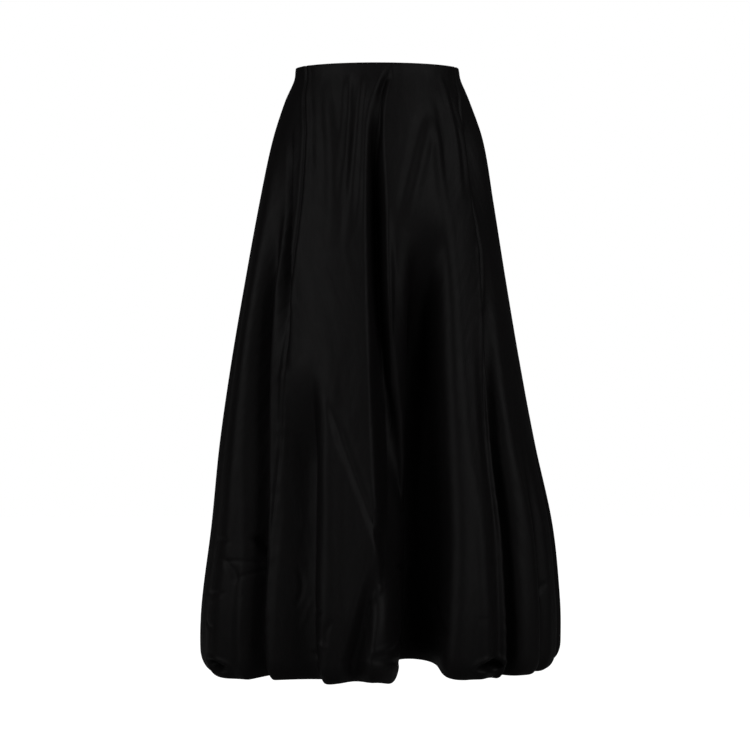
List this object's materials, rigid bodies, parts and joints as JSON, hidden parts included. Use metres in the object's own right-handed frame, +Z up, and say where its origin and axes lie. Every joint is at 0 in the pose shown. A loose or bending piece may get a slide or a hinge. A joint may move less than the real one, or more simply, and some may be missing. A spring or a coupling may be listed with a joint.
{
  "type": "balloon skirt",
  "caption": "Long flared skirt in black satin with a fitted waist, deep hanging folds, a hem that balloons and rolls under, and a concealed zip at the centre back.",
  "frame": {"origin": "centre of the waist's top edge, where the wearer's waist holds the skirt up", "axes": "+Z up out of the waist, the front faces -Y, +X is to the right of someone who looks at the front"},
  "size_m": [0.545, 0.4973, 0.9088],
  "materials": {
    "satin": "black satin with a soft sheen",
    "zip_metal": "black enamel, semi-gloss"
  },
  "bodies": {
    "skirt": {"front_panel": "satin", "back_panel_left": "satin", "back_panel_right": "satin", "zip_slider": "zip_metal"},
    "pull": {"zip_pull": "zip_metal"}
  },
  "joints": [
    {"name": "zip_pull_hinge", "type": "hinge", "parent": "skirt", "child": "pull", "pos_m": [0, 0.10087, -0.01184], "axis": [1, 0, 0], "range_deg": [0, 150]}
  ]
}
